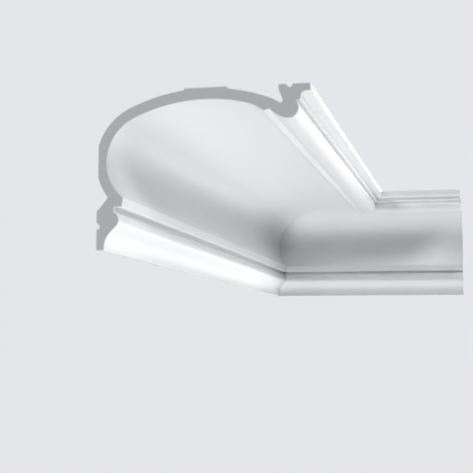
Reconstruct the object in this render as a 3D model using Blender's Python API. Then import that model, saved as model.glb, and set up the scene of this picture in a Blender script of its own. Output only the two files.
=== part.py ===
"""Inside corner of a large hollow-backed cove cornice: two lengths of one moulding, mitred at 45 degrees.

The section is drawn once, as a flat outline. In it the first number is the distance out from the upright
back plane and the second is the height above the bottom edge. Each length is that outline pushed along its
back plane, cut square at its free end and mitred where the two lengths meet. The top plane is at HEIGHT.
The origin is on the floor of the bounding box, at its centre.
"""

import math

import bmesh
import bpy
from mathutils import Matrix, Vector

# Overall sizes, in metres
HEIGHT = 0.222
PROJECTION = 0.299
LONG_RUN = 1.400
RETURN_RUN = 0.470
MITRE_GAP = 0.0003

# Shell
SHELL = 0.0165
SIDE_SHELL = 0.0135
BACK_SET_OFF = 0.0015

# Foot: a thin lip, then an ogee that swells out above it
LIP_THICKNESS = 0.0120
OGEE_FOOT = 0.0163
OGEE_SWELL = 0.0206
OGEE_SLOPE = math.radians(45)
HOLLOW_RADIUS = 0.0310
ROUND_RADIUS = 0.0123
ROUND_HEIGHT = 0.0166
QUIRK_DEPTH = 0.0070
QUIRK_HEIGHT = 0.0062
QUIRK_RADIUS = 0.0020

# Bead, the flat band between the quirk and the cove
BEAD_OVERHANG = 0.0044
BEAD_LEAN = 0.0016
BEAD_HEIGHT = 0.0135

# Cove
COVE_RISE = 0.0817
COVE_CROWN_X = 0.1540
COVE_JOINT = math.radians(24.9)
TURN_RUN = 0.0236
TURN_DROP = 0.0119

# Head, from the cove's edge to the nose at the top
HEAD_WIDTH = 0.0650
HEAD_HEIGHT = 0.0364
FILLET_RUN = 0.0082
FILLET_RISE = 0.0025
ROLL_RADIUS = 0.0146
ROLL_START = math.radians(35.5)
ROLL_TURN_RUN = 0.0117
ROLL_TURN_RISE = 0.0028
LEDGE_RUN = 0.0055
LEDGE_RISE = 0.0024
LEDGE_FACE = 0.0035
SCOTIA_RADIUS = 0.0073
NOSE_HEIGHT = 0.0113
NOSE_RUN = 0.0061

# Back: bedding strips, adhesive grooves and the hollows between them
BACK_STRIP = 0.0542
BACK_GROOVE_INSET = 0.0300
TOP_STRIP = 0.0447
TOP_GROOVE_INSET = 0.0256
GROOVE_WIDTH = 0.0088
GROOVE_RADIUS = 0.0030
RECESS_HEIGHT = 0.0730
RECESS_RADIUS = 0.0030
PAD_WIDTH = 0.0590
PAD_FLANK = 0.0025
PAD_RISE = 0.0009
VEE_TIP_IN = 0.0078
VEE_DEPTH = 0.0281
VEE_WIDTH = 0.0139
VEE_SHOULDER = 0.0072
VEE_SHOULDER_RADIUS = 0.0060
VEE_RADIUS = 0.0023

# The most that a flat facet may stand off a true arc
ARC_SAG = 0.00002

# Finish: primed white, satin
PRIMER_COLOUR = (0.86, 0.865, 0.87, 1.0)
PRIMER_ROUGHNESS = 0.5

# The line where the two back planes meet, seen from above
CORNER = Vector((-RETURN_RUN / 2, LONG_RUN / 2, 0))


def polar(centre, radius, angle):
    """The point of a circle at this angle."""
    return centre + radius * Vector((math.cos(angle), math.sin(angle)))


def arc(centre, radius, start, end):
    """Points along an arc between two angles, both ends included."""
    step = 2 * math.acos(1 - min(ARC_SAG / radius, 0.3))
    count = max(2, math.ceil(abs(end - start) / step))
    return [polar(centre, radius, start + (end - start) * i / count) for i in range(count + 1)]


def tangent_arc(start, heading, end):
    """Points of the arc that leaves start along heading and arrives at end."""
    chord = end - start
    turn = math.atan2(heading.x * chord.y - heading.y * chord.x, heading.dot(chord))
    radius = chord.length / (2 * abs(math.sin(turn)))
    side = math.copysign(1, turn)
    centre = start + side * radius * Vector((-heading.y, heading.x))
    first = math.atan2(start.y - centre.y, start.x - centre.x)
    return arc(centre, radius, first, first + 2 * turn)


def rounded(before, corner, after, radius):
    """Points of the arc that rounds a corner. A leg never runs past the point that it comes from."""
    towards = (before - corner).normalized()
    away = (after - corner).normalized()
    reach = radius / math.tan(towards.angle(away) / 2)
    leg = min(reach, (before - corner).length, (after - corner).length)
    return tangent_arc(corner + leg * towards, -towards, corner + leg * away)


def on_circle(centre, radius, x):
    """The angle of the upper point of a circle at this distance from the back plane."""
    return math.acos((x - centre.x) / radius)


def cut_at(points, least_x):
    """The line of points kept at least this far off the back plane, and flat where it would be nearer."""
    kept = []
    for here, there in zip(points, points[1:] + points[-1:]):
        kept.append(Vector((max(here.x, least_x), here.y)))
        if (here.x - least_x) * (there.x - least_x) < 0:
            kept.append(here.lerp(there, (least_x - here.x) / (there.x - here.x)))
    return [p for i, p in enumerate(kept) if not (0 < i < len(kept) - 1 and
            kept[i - 1].x == p.x == kept[i + 1].x == least_x)]


def foot():
    """The lip, ogee, quirk and bead, from the bottom edge up to the cove's lower arris."""
    lip = Vector((LIP_THICKNESS, 0))
    hollow = Vector((LIP_THICKNESS, OGEE_FOOT))
    swell = hollow + Vector((OGEE_SWELL, OGEE_SWELL * math.tan(OGEE_SLOPE)))
    quirk = swell + Vector((-QUIRK_DEPTH, ROUND_HEIGHT))
    quirk_root = quirk + Vector((0, QUIRK_HEIGHT))
    bead_low = swell + Vector((BEAD_OVERHANG, ROUND_HEIGHT + QUIRK_HEIGHT))
    bead_top = bead_low + Vector((BEAD_LEAN, BEAD_HEIGHT))
    swelling = rounded(hollow, swell, Vector((swell.x, quirk.y)), ROUND_RADIUS)
    return [
        Vector((0, 0)),
        lip,
        *rounded(lip, hollow, swell, HOLLOW_RADIUS),
        *swelling,
        *tangent_arc(swelling[-1], Vector((0, 1)), quirk)[1:],
        *rounded(quirk, quirk_root, bead_low, QUIRK_RADIUS),
        bead_low,
        bead_top,
    ]


def cove_arcs(bead_top, edge):
    """The cove as arcs that join smoothly: each is a centre, a radius and its two angles.

    They run from the bead over the crown towards the head: the lower arc, upright where the cove is
    nearest the back, the side arc, the crown arc, and the flatter crown arc in front of it.
    """
    nearest = BACK_SET_OFF + SIDE_SHELL
    top = HEIGHT - PAD_RISE - SHELL
    spring = top - COVE_RISE
    sine, cosine = math.sin(COVE_JOINT), math.cos(COVE_JOINT)
    span = COVE_CROWN_X - nearest
    side = (COVE_RISE * sine - span * (1 - cosine)) / (sine + cosine - 1)
    crown = (span - side * (1 - sine)) / sine
    out = bead_top.x - nearest
    up = spring - bead_top.y
    low = (out**2 + up**2) / (2 * out)
    turn = edge + Vector((-TURN_RUN, TURN_DROP))
    run = turn.x - COVE_CROWN_X
    fall = top - turn.y
    far = (run**2 + fall**2) / (2 * fall)
    low_centre = Vector((nearest + low, spring))
    low_angle = math.pi + math.atan2(spring - bead_top.y, low_centre.x - bead_top.x)
    joint = math.pi / 2 + COVE_JOINT
    return [
        (low_centre, low, low_angle, math.pi),
        (Vector((nearest + side, spring)), side, math.pi, joint),
        (Vector((COVE_CROWN_X, top - crown)), crown, joint, math.pi / 2),
        (Vector((COVE_CROWN_X, top - far)), far, math.pi / 2, math.pi / 2 - math.asin(run / far)),
    ]


def cove(arcs, edge):
    """The face of the cove, from just above the bead to the arris at the head."""
    points = []
    for centre, radius, start, end in arcs:
        points += arc(centre, radius, start, end)[1:]
    leaving = arcs[-1][3]
    heading = Vector((math.sin(leaving), -math.cos(leaving)))
    return points + tangent_arc(points[-1], heading, edge)[1:]


def head(edge):
    """The fillet, roll, ledge, scotia and nose, from the cove's upper arris to the top."""
    valley = edge + Vector((FILLET_RUN, FILLET_RISE))
    nose_low = Vector((PROJECTION, HEIGHT - NOSE_HEIGHT))
    scotia_top = nose_low - Vector((NOSE_RUN, 0))
    scotia_low = scotia_top - Vector((SCOTIA_RADIUS, SCOTIA_RADIUS))
    ledge = scotia_low - Vector((0, LEDGE_FACE))
    quirk = ledge - Vector((LEDGE_RUN, LEDGE_RISE))
    centre = quirk - polar(Vector((0, 0)), ROLL_RADIUS, ROLL_START)
    bottom = centre - Vector((0, ROLL_RADIUS))
    flank = bottom + Vector((-ROLL_TURN_RUN, ROLL_TURN_RISE))
    under = tangent_arc(bottom, Vector((-1, 0)), flank)
    rise = 2 * math.atan2(ROLL_TURN_RISE, ROLL_TURN_RUN)
    side = tangent_arc(flank, Vector((-math.cos(rise), math.sin(rise))), valley)
    return [
        valley,
        *reversed(side[:-1]),
        *reversed(under[:-1]),
        *arc(centre, ROLL_RADIUS, -math.pi / 2, ROLL_START)[1:],
        ledge,
        *tangent_arc(scotia_low, Vector((0, 1)), scotia_top),
        nose_low,
        Vector((PROJECTION, HEIGHT)),
    ]


def groove(square_side, into, along):
    """An adhesive groove in a bedding face: square on one side, sloped on the other, round at the bottom."""
    root = square_side + GROOVE_WIDTH * into
    far_side = square_side + GROOVE_WIDTH * along
    return [square_side, *rounded(square_side, root, far_side, GROOVE_RADIUS), far_side]


def back(arcs):
    """The bedding faces and the hollow back, from the nose over the crown and down to the lip."""
    low, side, crown, far = arcs
    top_groove = groove(Vector((PROJECTION - TOP_GROOVE_INSET, HEIGHT)), Vector((0, -1)), Vector((-1, 0)))
    strip_end = Vector((PROJECTION - TOP_STRIP, HEIGHT))
    shoulder = strip_end - Vector((0, VEE_SHOULDER))
    tip = strip_end + Vector((VEE_TIP_IN, -VEE_DEPTH))
    far_out = far[1] + SHELL
    vee = polar(far[0], far_out, on_circle(far[0], far_out, tip.x - VEE_WIDTH))
    pad_front = COVE_CROWN_X + PAD_WIDTH / 2
    pad_back = COVE_CROWN_X - PAD_WIDTH / 2
    crown_out = crown[1] + SHELL
    front_flank = on_circle(far[0], far_out, pad_front + PAD_FLANK)
    back_flank = on_circle(crown[0], crown_out, pad_back - PAD_FLANK)
    low_out = low[1] + SHELL
    recess_angle = math.pi + math.asin((low[0].y - RECESS_HEIGHT) / low_out)
    shell_back = [
        *arc(crown[0], crown_out, back_flank, crown[2]),
        *arc(side[0], side[1] + SHELL, side[3], math.pi)[1:],
        *arc(low[0], low_out, math.pi, recess_angle)[1:],
    ]
    shell_back = cut_at(shell_back, BACK_SET_OFF)
    strip_top = Vector((0, BACK_STRIP))
    back_groove = groove(Vector((0, BACK_GROOVE_INSET)), Vector((1, 0)), Vector((0, 1)))
    return [
        *top_groove,
        strip_end,
        *rounded(strip_end, shoulder, tip, VEE_SHOULDER_RADIUS),
        *rounded(shoulder, tip, vee, VEE_RADIUS),
        *arc(far[0], far_out, on_circle(far[0], far_out, vee.x), front_flank),
        Vector((pad_front, HEIGHT)),
        Vector((pad_back, HEIGHT)),
        *shell_back[:-1],
        *rounded(shell_back[-2], shell_back[-1], strip_top, RECESS_RADIUS),
        strip_top,
        *reversed(back_groove),
    ]


def section():
    """The whole outline, once round, with no point twice."""
    edge = Vector((PROJECTION - HEAD_WIDTH, HEIGHT - HEAD_HEIGHT))
    low_part = foot()
    arcs = cove_arcs(low_part[-1], edge)
    outline = low_part + cove(arcs, edge) + head(edge) + back(arcs)
    return [p for p, last in zip(outline, outline[-1:] + outline[:-1]) if (p - last).length > 1e-6]


def collection(name):
    """A new collection in the scene."""
    made = bpy.data.collections.new(name)
    bpy.context.scene.collection.children.link(made)
    return made


def primer(name):
    """The factory primer on the moulded skin."""
    material = bpy.data.materials.new(name)
    material.use_nodes = True
    shader = material.node_tree.nodes["Principled BSDF"]
    shader.inputs["Base Color"].default_value = PRIMER_COLOUR
    shader.inputs["Roughness"].default_value = PRIMER_ROUGHNESS
    shader.inputs["Metallic"].default_value = 0
    return material


def moulding(name, outline, run, middle, turn, into):
    """The section pushed along its length: a filled flat curve with a depth, made a mesh so it can be cut."""
    curve = bpy.data.curves.new(name + "_outline", "CURVE")
    curve.dimensions = "2D"
    curve.fill_mode = "BOTH"
    curve.extrude = run / 2
    spline = curve.splines.new("POLY")
    spline.points.add(len(outline) - 1)
    for point, place in zip(spline.points, outline):
        point.co = (place.x, place.y, 0, 1)
    spline.use_cyclic_u = True
    drawn = bpy.data.objects.new(name + "_outline", curve)
    drawn.matrix_world = Matrix.Translation(middle) @ turn.to_4x4()
    into.objects.link(drawn)
    graph = bpy.context.evaluated_depsgraph_get()
    mesh = bpy.data.meshes.new_from_object(drawn.evaluated_get(graph))
    work = bmesh.new()
    work.from_mesh(mesh)
    bmesh.ops.remove_doubles(work, verts=work.verts, dist=1e-6)
    bmesh.ops.recalc_face_normals(work, faces=work.faces)
    work.to_mesh(mesh)
    work.free()
    mesh.name = name
    mesh.materials.clear()
    mesh.materials.append(primer(name + "_primer"))
    mesh.shade_smooth()
    mesh.set_sharp_from_angle(angle=math.radians(25))
    solid = bpy.data.objects.new(name, mesh)
    solid.matrix_world = drawn.matrix_world.copy()
    into.objects.link(solid)
    bpy.data.objects.remove(drawn)
    return solid


def mitre(solid, side, into):
    """Cuts a length at 45 degrees, on its own side of the mitre and half the gap away from it."""
    size = 4 * PROJECTION
    across = Vector((1, 1, 0)).normalized() * side
    bpy.ops.mesh.primitive_cube_add(size=size)
    cutter = bpy.context.object
    cutter.name = solid.name + "_mitre"
    cutter.location = CORNER + across * (size - MITRE_GAP) / 2
    cutter.rotation_euler = (0, 0, math.radians(45))
    cutter.hide_render = True
    cutter.display_type = "WIRE"
    for holder in cutter.users_collection:
        holder.objects.unlink(cutter)
    into.objects.link(cutter)
    cut = solid.modifiers.new("mitre", "BOOLEAN")
    cut.operation = "DIFFERENCE"
    cut.solver = "EXACT"
    cut.object = cutter


def build():
    """Both lengths, each mitred into the corner."""
    for old in list(bpy.data.objects):
        bpy.data.objects.remove(old)
    parts = collection("cornice_moulding")
    cutters = collection("cutters")
    outline = section()
    upright = Matrix.Rotation(math.radians(90), 3, "X")
    turned = Matrix.Rotation(math.radians(-90), 3, "Z") @ upright
    long_middle = Vector((CORNER.x, 0, 0))
    return_middle = Vector((0, CORNER.y, 0))
    long_length = moulding("long_length", outline, LONG_RUN, long_middle, upright, parts)
    return_length = moulding("return_length", outline, RETURN_RUN, return_middle, turned, parts)
    mitre(long_length, 1, cutters)
    mitre(return_length, -1, cutters)


build()
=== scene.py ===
# %% [markdown]
# # Dressing a cove cornice
#
# The object is an inside corner of a large cove cornice: two lengths of one hollow-backed moulding, cast in
# rigid polyurethane, primed white and mitred together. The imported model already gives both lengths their
# true section. What it lacks is what the eye goes to: the softened arrises of a mould, the satin primer on
# the face, the bare skin behind, and the fine grey cells of a sawn end.
#
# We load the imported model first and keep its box, because nothing made here may be larger than it.

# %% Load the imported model
import math

import bmesh
import bpy
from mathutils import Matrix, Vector
from mathutils.geometry import tessellate_polygon


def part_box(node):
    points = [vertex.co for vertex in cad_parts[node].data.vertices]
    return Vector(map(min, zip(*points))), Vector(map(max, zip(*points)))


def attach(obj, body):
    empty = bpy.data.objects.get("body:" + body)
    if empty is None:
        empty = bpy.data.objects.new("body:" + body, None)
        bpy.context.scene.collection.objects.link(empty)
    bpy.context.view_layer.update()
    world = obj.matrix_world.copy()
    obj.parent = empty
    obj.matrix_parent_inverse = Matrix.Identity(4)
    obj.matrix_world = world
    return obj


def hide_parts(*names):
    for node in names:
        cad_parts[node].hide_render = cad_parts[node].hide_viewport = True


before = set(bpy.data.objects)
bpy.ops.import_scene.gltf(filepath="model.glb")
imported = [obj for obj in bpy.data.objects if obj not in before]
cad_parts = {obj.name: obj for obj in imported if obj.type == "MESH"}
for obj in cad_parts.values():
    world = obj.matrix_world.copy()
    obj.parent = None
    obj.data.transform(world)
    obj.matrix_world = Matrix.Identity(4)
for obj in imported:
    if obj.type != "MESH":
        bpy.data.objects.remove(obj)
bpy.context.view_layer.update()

MM = 0.001
LONG_NODE = "long_length"
RETURN_NODE = "return_length"
print("nodes:", sorted(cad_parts))

# %% [markdown]
# ## Where the corner stands
#
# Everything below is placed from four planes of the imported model: the two upright back planes, which meet
# in the corner, and the two square ends. The section is measured from the back plane outwards (its first
# number) and from the lip upwards (its second), so one outline serves both lengths.

# %% Read the four planes from the model
long_low, long_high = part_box(LONG_NODE)
return_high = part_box(RETURN_NODE)[1]
BACK_X = long_low.x
BACK_Y = return_high.y
LONG_END_Y = long_low.y
RETURN_END_X = return_high.x
HEIGHT = long_high.z
WELD = 0.001 * MM
print(f"long length {BACK_Y - LONG_END_Y:.3f} m, return {RETURN_END_X - BACK_X:.3f} m, height {HEIGHT:.3f} m")

# %% [markdown]
# ## The camera
#
# A cornice is looked at from below. The camera stands in front of the sawn end, a little right of the
# return's end and 134 mm under the lip, and looks slightly up and to the left. A fairly long lens keeps the
# perspective of the picture: the far mitre is about half the size of the near end. The place and the two
# angles come from matching the corners of the section at the near end, the mitre and the far end.

# %% Place the camera
CAMERA_PLACE = Vector((0.2875, -2.2171, -0.1340))
CAMERA_TURN = (math.radians(95.530), math.radians(-0.170), math.radians(12.064))
CAMERA_LENS = 88.55
CAMERA_SENSOR = 36.0

camera_data = bpy.data.cameras.new("camera")
camera_data.lens = CAMERA_LENS
camera_data.sensor_width = CAMERA_SENSOR
camera = bpy.data.objects.new("camera", camera_data)
camera.location = CAMERA_PLACE
camera.rotation_euler = CAMERA_TURN
bpy.context.scene.collection.objects.link(camera)
bpy.context.scene.camera = camera
print("camera at", tuple(camera.location), "lens", camera_data.lens)

# %% [markdown]
# ## The section, read from the solid
#
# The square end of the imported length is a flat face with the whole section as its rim. It could be drawn
# again here from arcs, but then two files would hold one shape. Reading the rim keeps them in step: we weld
# the corners, collect the faces that lie in the end plane, and walk along the edges that only one of them
# uses.

# %% Walk round the square end
def end_outline(solid):
    """The section as points (distance out, height), from the back's bottom corner along the lip and round."""
    work = bmesh.new()
    work.from_mesh(solid.data)
    bmesh.ops.remove_doubles(work, verts=work.verts, dist=WELD)
    end = {face for face in work.faces if all(abs(v.co.y - LONG_END_Y) < WELD for v in face.verts)}
    neighbours = {}
    for edge in work.edges:
        if sum(face in end for face in edge.link_faces) == 1:
            for corner in edge.verts:
                neighbours.setdefault(corner, []).append(edge.other_vert(corner))
    first = min(neighbours, key=lambda v: v.co.x + v.co.z)
    here = min(neighbours[first], key=lambda v: v.co.z)
    loop = [first]
    while here is not first:
        loop.append(here)
        here = next(v for v in neighbours[here] if v is not loop[-2])
    points = [Vector((v.co.x - BACK_X, v.co.z)) for v in loop]
    work.free()
    return points


outline = end_outline(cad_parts[LONG_NODE])
PROJECTION = max(p.x for p in outline)
print(len(outline), "points round the section,", round(PROJECTION / MM, 1), "mm deep")

# %% [markdown]
# ## Softened arrises
#
# A moulded edge is never sharp: the tool's corner has a small radius and the primer fills it further. That
# radius is what draws the thin bright lines along the bead, the fillet and the nose. A bevel on the finished
# mesh would do it, but on long thin faces it is slow and clumsy. It is easier on the flat outline, where each
# arris is one point: it gives way to a short curve before the section is pushed along.

# %% Round the arrises of the outline
ARRIS_RADIUS = 0.6 * MM
ARRIS_TURN = math.radians(25)
ARRIS_STEPS = 6
ARRIS_SHARE = 0.45


def softened(points):
    """The outline with a small curve in place of each arris, and each new point's number in the old one."""
    made = []
    for i, corner in enumerate(points):
        before = points[i - 1] - corner
        after = points[(i + 1) % len(points)] - corner
        turn = math.pi - before.angle(after)
        if turn < ARRIS_TURN:
            made.append((corner.copy(), i))
            continue
        leg = min(ARRIS_RADIUS * math.tan(turn / 2), ARRIS_SHARE * before.length, ARRIS_SHARE * after.length)
        start = corner + before.normalized() * leg
        end = corner + after.normalized() * leg
        for step in range(ARRIS_STEPS + 1):
            t = step / ARRIS_STEPS
            made.append((start * (1 - t) ** 2 + corner * 2 * t * (1 - t) + end * t**2, i))
    return made


soft = softened(outline)
soft_outline = [place for place, number in soft]
print(len(soft_outline), "points with the arrises softened")

# %% [markdown]
# ## The skin
#
# When rigid polyurethane foams in a closed mould, the part that touches the tool stays dense. A sawn end
# shows this skin as a pale rim about a millimetre wide round the grey cells. It is drawn as a second loop
# inside the outline: each point moves inwards along the middle of its two edges, and points that land nearer
# to the outline than the skin is thick are dropped, because that is where the loop would cross itself.

# %% Draw the inner edge of the skin
SKIN = 1.2 * MM
SKIN_TOLERANCE = 0.98


def distance_to(outline_points, place):
    """The distance from a place to the nearest edge of a closed outline."""
    nearest = math.inf
    for a, b in zip(outline_points, outline_points[1:] + outline_points[:1]):
        run = b - a
        along = max(0, min(1, (place - a).dot(run) / run.length_squared))
        nearest = min(nearest, (place - a - run * along).length)
    return nearest


def inset(points, depth):
    """The outline moved inwards. The points run anticlockwise, so the inside is on the left."""
    moved = []
    for i, corner in enumerate(points):
        before = (corner - points[i - 1]).normalized()
        after = (points[(i + 1) % len(points)] - corner).normalized()
        left = Vector((-before.y - after.y, before.x + after.x))
        place = corner + left * depth / (1 + before.dot(after))
        if distance_to(points, place) > depth * SKIN_TOLERANCE:
            moved.append(place)
    return moved


skin_outline = inset(outline, SKIN)
print(len(skin_outline), "points round the inner edge of the skin")

# %% [markdown]
# ## From outline to length
#
# A moulding is one outline pushed along a line. A curve with an extrude would do it, and so would the Screw
# modifier, but both end square. Here every point of the outline gets its own run: it starts at the square
# end and stops on the mitre plane, which a point reaches sooner the further it stands out from the back. So
# the mitre needs no cutting. The two lengths meet in it with only a hair between them, because on the real
# corner the joint adhesive fills that gap and the primer hides it.

# %% Say where a point of the outline stands
MITRE_JOINT = 0.04 * MM


def on_long(point, along):
    """A point of the outline on the long length, from the square end (along 0) to the mitre (along 1)."""
    run = BACK_Y - point.x - MITRE_JOINT - LONG_END_Y
    return Vector((BACK_X + point.x, LONG_END_Y + run * along, point.y))


def on_return(point, along):
    """A point of the outline on the return, from its square end (along 0) to the mitre (along 1)."""
    run = RETURN_END_X - BACK_X - point.x - MITRE_JOINT
    return Vector((RETURN_END_X - run * along, BACK_Y - point.x, point.y))


print("joint across the mitre:", round(math.sqrt(2) * MITRE_JOINT / MM, 3), "mm")

# %% [markdown]
# ## One closed mesh for each length
#
# The rows of points are joined by four-sided faces. Each end is filled flat, and the square end gets two
# fills, a rim for the skin and a core for the cells, so that each can have its own material. The primer
# covers the face from the lip round to the top of the nose, and the back stays bare. Normals weighted by
# face area keep the flats flat right up to their softened arrises.

# %% Build a length
FACE, BACK, RIM, CORE = range(4)
# A row of points at least every 50 mm keeps the long faces from becoming slivers.
STATION = 50 * MM
SHARP_TURN = math.radians(30)
top_corner = max(range(len(outline)), key=lambda i: outline[i].x + outline[i].y)


def fill(work, loops, shapes, material):
    """Fills between flat loops of points with triangles. A second loop is the edge of a hole."""
    corners = [corner for loop in loops for corner in loop]
    for triangle in tessellate_polygon(shapes):
        work.faces.new([corners[i] for i in triangle]).material_index = material


def dressed_length(name, place, run):
    """The mesh object of one length, with its face, back, skin rim and sawn core told apart."""
    work = bmesh.new()
    stations = math.ceil(run / STATION)
    rows = []
    for k in range(stations + 1):
        rows.append([work.verts.new(place(point, k / stations)) for point in soft_outline])
    for near, far in zip(rows, rows[1:]):
        for i in range(len(soft)):
            j = (i + 1) % len(soft)
            strip = work.faces.new((near[i], near[j], far[j], far[i]))
            strip.material_index = FACE if max(soft[i][1], soft[j][1]) <= top_corner else BACK
    core = [work.verts.new(place(point, 0)) for point in skin_outline]
    fill(work, [rows[0], core], [soft_outline, skin_outline], RIM)
    fill(work, [core], [skin_outline], CORE)
    fill(work, [rows[-1]], [soft_outline], CORE)
    bmesh.ops.recalc_face_normals(work, faces=work.faces)
    mesh = bpy.data.meshes.new(name)
    work.to_mesh(mesh)
    open_edges = sum(len(edge.link_faces) != 2 for edge in work.edges)
    work.free()
    mesh.shade_smooth()
    mesh.set_sharp_from_angle(angle=SHARP_TURN)
    piece = bpy.data.objects.new(name, mesh)
    bpy.context.scene.collection.objects.link(piece)
    weighting = piece.modifiers.new("weighted_normals", "WEIGHTED_NORMAL")
    weighting.keep_sharp = True
    print(f"{name}: {len(mesh.polygons)} faces, {open_edges} open edges")
    return piece


long_piece = dressed_length("long_length_moulding", on_long, BACK_Y - LONG_END_Y)
return_piece = dressed_length("return_length_moulding", on_return, RETURN_END_X - BACK_X)

# %% [markdown]
# ## Nodes and colours
#
# Two helpers serve every material. Colours are written as the hex values of a paint chip, which are sRGB,
# and Blender's shaders want linear light, so one function turns them. The other adds a node, sets what it is
# told to and makes the links, so each material reads as a list of what it is made of.

# %% Helpers for the materials
def linear(hex_colour):
    """The linear channels and the alpha of an sRGB hex colour."""
    channels = [int(hex_colour[i:i + 2], 16) / 255 for i in (1, 3, 5)]
    return [c / 12.92 if c <= 0.04045 else ((c + 0.055) / 1.055) ** 2.4 for c in channels] + [1.0]


def add(tree, kind, inputs, **settings):
    """Adds a node. An input is a value for its socket, or another node's output to link to it."""
    node = tree.nodes.new(kind)
    for name, value in settings.items():
        setattr(node, name, value)
    for name, value in inputs.items():
        if isinstance(value, bpy.types.NodeSocket):
            tree.links.new(value, node.inputs[name])
        else:
            node.inputs[name].default_value = value
    return node


def new_material(name):
    """An empty material: its node tree, its shader and the place of a point on the object, in metres."""
    material = bpy.data.materials.new(name)
    material.use_nodes = True
    tree = material.node_tree
    tree.nodes.clear()
    shader = add(tree, "ShaderNodeBsdfPrincipled", {})
    add(tree, "ShaderNodeOutputMaterial", {"Surface": shader.outputs["BSDF"]})
    place = add(tree, "ShaderNodeTexCoord", {}).outputs["Object"]
    return material, tree, shader, place


print("the primer's white in linear light:", [round(c, 3) for c in linear("#E9EAEB")])

# %% [markdown]
# ## Factory primer on the face
#
# Common name: satin acrylic primer, sprayed on moulded polyurethane. The mould gives a surface like glass,
# and the sprayed film lays a faint orange peel over it, a millimetre or so across. To the eye that means a
# soft broad highlight, no sharp reflections, and a white that is barely uneven. Acrylic's index is near 1.49.
# Fresh white primer gives back about four fifths of the light, so the hollows glow a little from within.

# %% Primer material
PRIMER_WHITE = "#E9EAEB"
PRIMER_SHADE = "#E6E7E9"
PRIMER_IOR = 1.49
# Satin: smoother where the film flowed out, duller where it went on dry.
PRIMER_ROUGHNESS = (0.42, 0.50)
CLOUD_SIZE = 60 * MM
CLOUD_DETAIL = 3.0
# Real orange peel on a primer is 1 to 2 mm across. It is drawn at 2.5 mm, so that a near view can show it.
PEEL_SIZE = 2.5 * MM
PEEL_DETAIL = 2.0
PEEL_HEIGHT = 0.008 * MM


def primer():
    """Satin white primer, with a cloudy tone and a fine orange peel."""
    material, tree, shader, place = new_material("satin_primer_on_moulded_polyurethane")
    cloud = add(tree, "ShaderNodeTexNoise", {"Vector": place, "Scale": 1 / CLOUD_SIZE})
    cloud.inputs["Detail"].default_value = CLOUD_DETAIL
    tone = add(tree, "ShaderNodeMix", {"Factor": cloud.outputs["Fac"]}, data_type="RGBA")
    tone.inputs["A"].default_value = linear(PRIMER_SHADE)
    tone.inputs["B"].default_value = linear(PRIMER_WHITE)
    peel = add(tree, "ShaderNodeTexNoise", {"Vector": place, "Scale": 1 / PEEL_SIZE})
    peel.inputs["Detail"].default_value = PEEL_DETAIL
    gloss = add(tree, "ShaderNodeMapRange", {"Value": cloud.outputs["Fac"]})
    gloss.inputs["To Min"].default_value = PRIMER_ROUGHNESS[0]
    gloss.inputs["To Max"].default_value = PRIMER_ROUGHNESS[1]
    relief = add(tree, "ShaderNodeBump", {"Height": peel.outputs["Fac"], "Distance": PEEL_HEIGHT})
    tree.links.new(tone.outputs["Result"], shader.inputs["Base Color"])
    tree.links.new(gloss.outputs["Result"], shader.inputs["Roughness"])
    tree.links.new(relief.outputs["Normal"], shader.inputs["Normal"])
    shader.inputs["IOR"].default_value = PRIMER_IOR
    return material


face_finish = primer()
print("face:", face_finish.name)

# %% [markdown]
# ## Bare skin on the back
#
# Common name: rigid polyurethane, as it leaves the mould. The back gets no primer but what drifts round the
# edges when the face is sprayed. The skin is a little greyer and warmer than the primer, duller, and it
# carries the flow marks of the foam, which are drawn out along the mould and some centimetres long. The two
# lengths run in different directions, so each gets its own copy with the marks drawn out its own way.

# %% Bare skin material
SKIN_LIGHT = "#E6E6E3"
SKIN_DARK = "#D9D9D6"
SKIN_ROUGHNESS = 0.62
POLYURETHANE_IOR = 1.5
FLOW_WIDTH = 9 * MM
FLOW_STRETCH = 0.18
FLOW_HEIGHT = 0.12 * MM
FLOW_SWIRL = 0.6
FLOW_DETAIL = 5.0
# Primer drift reaches this far up from the lip, and breaks up into a spray of specks.
DRIFT_REACH = 22 * MM
DRIFT_GRAIN = 3 * MM
DRIFT_DETAIL = 4.0
DRIFT_BREAK = (0.15, 0.45)


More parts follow.
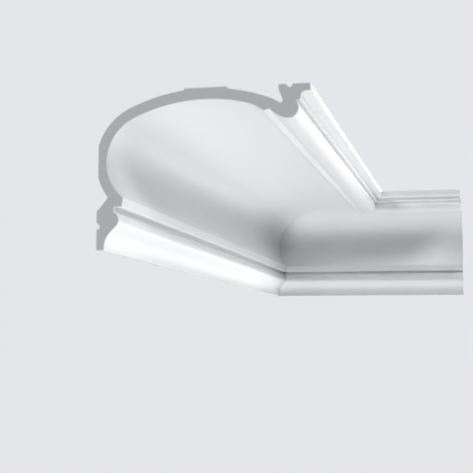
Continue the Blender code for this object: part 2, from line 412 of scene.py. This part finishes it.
def bare_skin(name, stretch):
    """Unprimed moulded skin with flow marks, and primer drift that fades upwards from the lip."""
    material, tree, shader, place = new_material(name)
    drawn_out = add(tree, "ShaderNodeVectorMath", {0: place}, operation="MULTIPLY")
    drawn_out.inputs[1].default_value = stretch
    flow = add(tree, "ShaderNodeTexNoise", {"Vector": drawn_out.outputs[0], "Scale": 1 / FLOW_WIDTH})
    flow.inputs["Detail"].default_value = FLOW_DETAIL
    flow.inputs["Distortion"].default_value = FLOW_SWIRL
    tone = add(tree, "ShaderNodeMix", {"Factor": flow.outputs["Fac"]}, data_type="RGBA")
    tone.inputs["A"].default_value = linear(SKIN_DARK)
    tone.inputs["B"].default_value = linear(SKIN_LIGHT)
    height = add(tree, "ShaderNodeSeparateXYZ", {"Vector": place}).outputs["Z"]
    grain = add(tree, "ShaderNodeTexNoise", {"Vector": place, "Scale": 1 / DRIFT_GRAIN})
    grain.inputs["Detail"].default_value = DRIFT_DETAIL
    drift = add(tree, "ShaderNodeMapRange", {"Value": height, "From Min": 0.0, "From Max": DRIFT_REACH})
    drift.inputs["To Min"].default_value = 1.0
    drift.inputs["To Max"].default_value = 0.0
    specks = add(tree, "ShaderNodeMath", {0: drift.outputs["Result"]}, operation="MULTIPLY")
    tree.links.new(grain.outputs["Fac"], specks.inputs[1])
    cover = add(tree, "ShaderNodeMapRange", {"Value": specks.outputs[0]})
    cover.inputs["From Min"].default_value = DRIFT_BREAK[0]
    cover.inputs["From Max"].default_value = DRIFT_BREAK[1]
    finish = add(tree, "ShaderNodeMix", {"Factor": cover.outputs["Result"]}, data_type="RGBA")
    tree.links.new(tone.outputs["Result"], finish.inputs["A"])
    finish.inputs["B"].default_value = linear(PRIMER_WHITE)
    relief = add(tree, "ShaderNodeBump", {"Height": flow.outputs["Fac"], "Distance": FLOW_HEIGHT})
    tree.links.new(finish.outputs["Result"], shader.inputs["Base Color"])
    tree.links.new(relief.outputs["Normal"], shader.inputs["Normal"])
    shader.inputs["Roughness"].default_value = SKIN_ROUGHNESS
    shader.inputs["IOR"].default_value = POLYURETHANE_IOR
    return material


back_finishes = {
    LONG_NODE: bare_skin("bare_moulded_polyurethane_long", (1, FLOW_STRETCH, 1)),
    RETURN_NODE: bare_skin("bare_moulded_polyurethane_return", (FLOW_STRETCH, 1, 1)),
}
print("back:", [finish.name for finish in back_finishes.values()])

# %% [markdown]
# ## Sawn foam on the square ends
#
# Common name: rigid polyurethane foam, crosscut with a fine saw. The blade opens the cells, and the cut looks
# grey and dead matt beside the white primer: its grey is partly the foam's own and partly painted shade for
# the open cells. It leaves faint level lines as well. The dense skin has almost no cells and shows as a paler
# rim.
# The cells come from a Voronoi pattern, whose distance is lowest in the middle of each cell, and the colour
# is painted darker there, as painted shade in each open pit; the saw's lines come from a wave.

# %% Sawn foam material
# The darker tone of each pair is painted shade for the middle of the open cells, and the saw's lines pull the
# tone down a little too.
FOAM_LIGHT = "#C8C9CB"
FOAM_PAINTED_PIT_SHADE = "#B3B4B6"
RIM_LIGHT = "#EDEEEF"
RIM_PAINTED_PIT_SHADE = "#E6E7E8"
FOAM_ROUGHNESS = 0.85
# Cells in dense moulded foam are 0.3 to 0.5 mm. They are drawn at 1.1 mm, so that a near view can show them.
CELL_SIZE = 1.1 * MM
CELL_DEPTH = 0.05 * MM
SAW_PITCH = 2.4 * MM
SAW_HEIGHT = 0.02 * MM
SAW_WANDER = 2.0
SAW_SHARE = 0.3
# The skin has almost no cells to open.
RIM_OPENNESS = 0.2
CORE_OPENNESS = 1.0
# At a scale of 1 the wave node turns through 20 radians in each metre.
WAVE_TURN = 20.0


def sawn_foam(name, light, painted_pit_shade, openness):
    """Cut cells, as deep in relief as the openness says and with painted shade in the middle of each, crossed
    by the faint lines of the saw.
    """
    material, tree, shader, place = new_material(name)
    cells = add(tree, "ShaderNodeTexVoronoi", {"Vector": place, "Scale": 1 / CELL_SIZE})
    saw = add(tree, "ShaderNodeTexWave", {"Vector": place, "Distortion": SAW_WANDER}, bands_direction="Z")
    saw.inputs["Scale"].default_value = math.tau / (WAVE_TURN * SAW_PITCH)
    pit_shade_and_saw_mix = add(tree, "ShaderNodeMix", {"Factor": SAW_SHARE})
    tree.links.new(cells.outputs["Distance"], pit_shade_and_saw_mix.inputs["A"])
    tree.links.new(saw.outputs["Fac"], pit_shade_and_saw_mix.inputs["B"])
    # Painted shade: the colour is darkest in the middle of each cell, where an open pit would hold shade, on
    # the rim as on the core.
    tone = add(tree, "ShaderNodeMix", {"Factor": pit_shade_and_saw_mix.outputs["Result"]}, data_type="RGBA")
    tone.inputs["A"].default_value = linear(painted_pit_shade)
    tone.inputs["B"].default_value = linear(light)
    pores = add(tree, "ShaderNodeMath", {0: cells.outputs["Distance"]}, operation="MULTIPLY")
    pores.inputs[1].default_value = CELL_DEPTH * openness
    lines = add(tree, "ShaderNodeMath", {0: saw.outputs["Fac"], 1: SAW_HEIGHT}, operation="MULTIPLY_ADD")
    tree.links.new(pores.outputs[0], lines.inputs[2])
    relief = add(tree, "ShaderNodeBump", {"Height": lines.outputs[0], "Distance": 1.0})
    tree.links.new(tone.outputs["Result"], shader.inputs["Base Color"])
    tree.links.new(relief.outputs["Normal"], shader.inputs["Normal"])
    shader.inputs["Roughness"].default_value = FOAM_ROUGHNESS
    shader.inputs["IOR"].default_value = POLYURETHANE_IOR
    return material


rim_finish = sawn_foam("sawn_polyurethane_skin", RIM_LIGHT, RIM_PAINTED_PIT_SHADE, RIM_OPENNESS)
core_finish = sawn_foam("sawn_polyurethane_foam", FOAM_LIGHT, FOAM_PAINTED_PIT_SHADE, CORE_OPENNESS)
print("ends:", rim_finish.name, "and", core_finish.name)

# %% [markdown]
# ## Dress both lengths
#
# Each mesh gets its four finishes in the order of the numbers its faces carry. Then it is told which body
# it rides on, and the imported solid it stands in for is hidden.

# %% Hand out the finishes
for piece, node in ((long_piece, LONG_NODE), (return_piece, RETURN_NODE)):
    finishes = {FACE: face_finish, BACK: back_finishes[node], RIM: rim_finish, CORE: core_finish}
    for area in sorted(finishes):
        piece.data.materials.append(finishes[area])
    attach(piece, "root")
    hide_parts(node)
    used = {face.material_index for face in piece.data.polygons}
    print(f"{piece.name}: {len(used)} finishes in use")

# %% [markdown]
# ## The floor
#
# A cornice is fixed high up, so the floor lies 2.4 m below the lip, where a floor would be. It is pale, and
# it glows by itself, so that it stays pale from every side although the lamps aim at the object and not at
# it. Its own colour is darker than it looks, because the glow comes on top. It gives no light back to the
# object: the balance of light and shade in the cove is delicate, and the lamps alone should set it.

# %% Lay the floor
FLOOR_DROP = 2.4
FLOOR_SIZE = 30.0
STUDIO_PALE = "#E4E6E9"
FLOOR_GREY = "#8C8E91"
FLOOR_GLOW = 0.88
FLOOR_ROUGHNESS = 0.8

floor_mesh = bpy.data.meshes.new("floor")
work = bmesh.new()
bmesh.ops.create_grid(work, x_segments=1, y_segments=1, size=FLOOR_SIZE / 2)
work.to_mesh(floor_mesh)
work.free()
floor = bpy.data.objects.new("floor", floor_mesh)
floor.location = (0, 0, -FLOOR_DROP)
floor.visible_diffuse = False
floor.visible_glossy = False
bpy.context.scene.collection.objects.link(floor)
floor_paint, _, shader, _ = new_material("pale_studio_floor")
shader.inputs["Base Color"].default_value = linear(FLOOR_GREY)
shader.inputs["Roughness"].default_value = FLOOR_ROUGHNESS
shader.inputs["Emission Color"].default_value = linear(STUDIO_PALE)
shader.inputs["Emission Strength"].default_value = FLOOR_GLOW
floor_mesh.materials.append(floor_paint)
print(f"floor {FLOOR_SIZE:.0f} m square, {FLOOR_DROP} m under the lip")

# %% [markdown]
# ## The backdrop
#
# Above the floor's edge the camera sees the world. The object should see far less of it, because light that
# comes evenly from everywhere would fill the cove's shade. A Light Path node tells the two apart: what the
# camera looks at is pale, and what lights the object is only a faint grey.

# %% Set the backdrop
AMBIENT = 0.04

world = bpy.data.worlds.new("studio")
bpy.context.scene.world = world
world.use_nodes = True
tree = world.node_tree
tree.nodes.clear()
seen = add(tree, "ShaderNodeLightPath", {})
backdrop = add(tree, "ShaderNodeBackground", {"Color": linear(STUDIO_PALE), "Strength": 1.0})
faint = add(tree, "ShaderNodeBackground", {"Color": linear("#FFFFFF"), "Strength": AMBIENT})
shown = add(tree, "ShaderNodeMixShader", {"Fac": seen.outputs["Is Camera Ray"]})
tree.links.new(faint.outputs[0], shown.inputs[1])
tree.links.new(backdrop.outputs[0], shown.inputs[2])
add(tree, "ShaderNodeOutputWorld", {"Surface": shown.outputs[0]})
print("backdrop", STUDIO_PALE, "and ambient light", AMBIENT)

# %% [markdown]
# ## The lamps
#
# A cove looks right when it is lit from below, as it is in use, high above a lit floor. The broad low
# lamp does most: it whitens the ogee and the crown, and leaves the cove's lower half in shade. Two lamps
# behind and right graze the long ogee and the roll, and make the satin shine. The one at the right stands
# high: it reaches the bead, the ogee and the nose, and the roll keeps it out of the cove. A small lamp just
# under the near end brightens the cove's near rim, so that the tone falls off along the length. The two in
# front light the sawn end, and stand high so that the roll shades the cove from them too. The last two reach
# only the back and the top, for whoever walks round.

# %% Hang the lamps
LAMPS = [
    # name, place, aim, width in metres, watts
    ("low_broad", (-0.1, 0.2, -2.2), (0, 0, 0.1), 1.8, 46),
    ("right_behind", (1.5, 2.6, -0.2), (0, 0, 0.1), 2.8, 68),
    ("behind", (0, 3, 0.1), (0, 0, 0.1), 2.4, 20),
    ("right_above", (2.7, 0.1, 1.55), (0, 0, 0.05), 0.9, 36),
    ("near_rim", (-0.1, -0.9, -0.5), (-0.1, -0.6, 0.1), 0.7, 2.1),
    ("front_left", (-1.7, -2.4, 1.7), (0, 0, 0.1), 0.9, 48),
    ("front_right", (1.5, -2.0, 1.35), (0, 0, 0.1), 0.9, 25),
    ("back_left", (-2.4, 2.2, 1.4), (0, 0, 0.1), 2.0, 34),
    ("top", (-0.6, 0.8, 3.2), (-0.1, 0.2, 0.2), 2.0, 15),
]


def soft_light(name, place, aim, width, watts):
    """A square soft box that faces a point and doesn't show itself to the camera."""
    data = bpy.data.lights.new(name, "AREA")
    data.shape = "SQUARE"
    data.size = width
    data.energy = watts
    lamp = bpy.data.objects.new(name, data)
    lamp.location = place
    lamp.rotation_euler = (Vector(aim) - Vector(place)).to_track_quat("-Z", "Y").to_euler()
    lamp.visible_camera = False
    bpy.context.scene.collection.objects.link(lamp)


for settings in LAMPS:
    soft_light(*settings)
bpy.context.scene.view_settings.view_transform = "Standard"
print(len(LAMPS), "soft lamps,", sum(settings[-1] for settings in LAMPS), "watts in all")
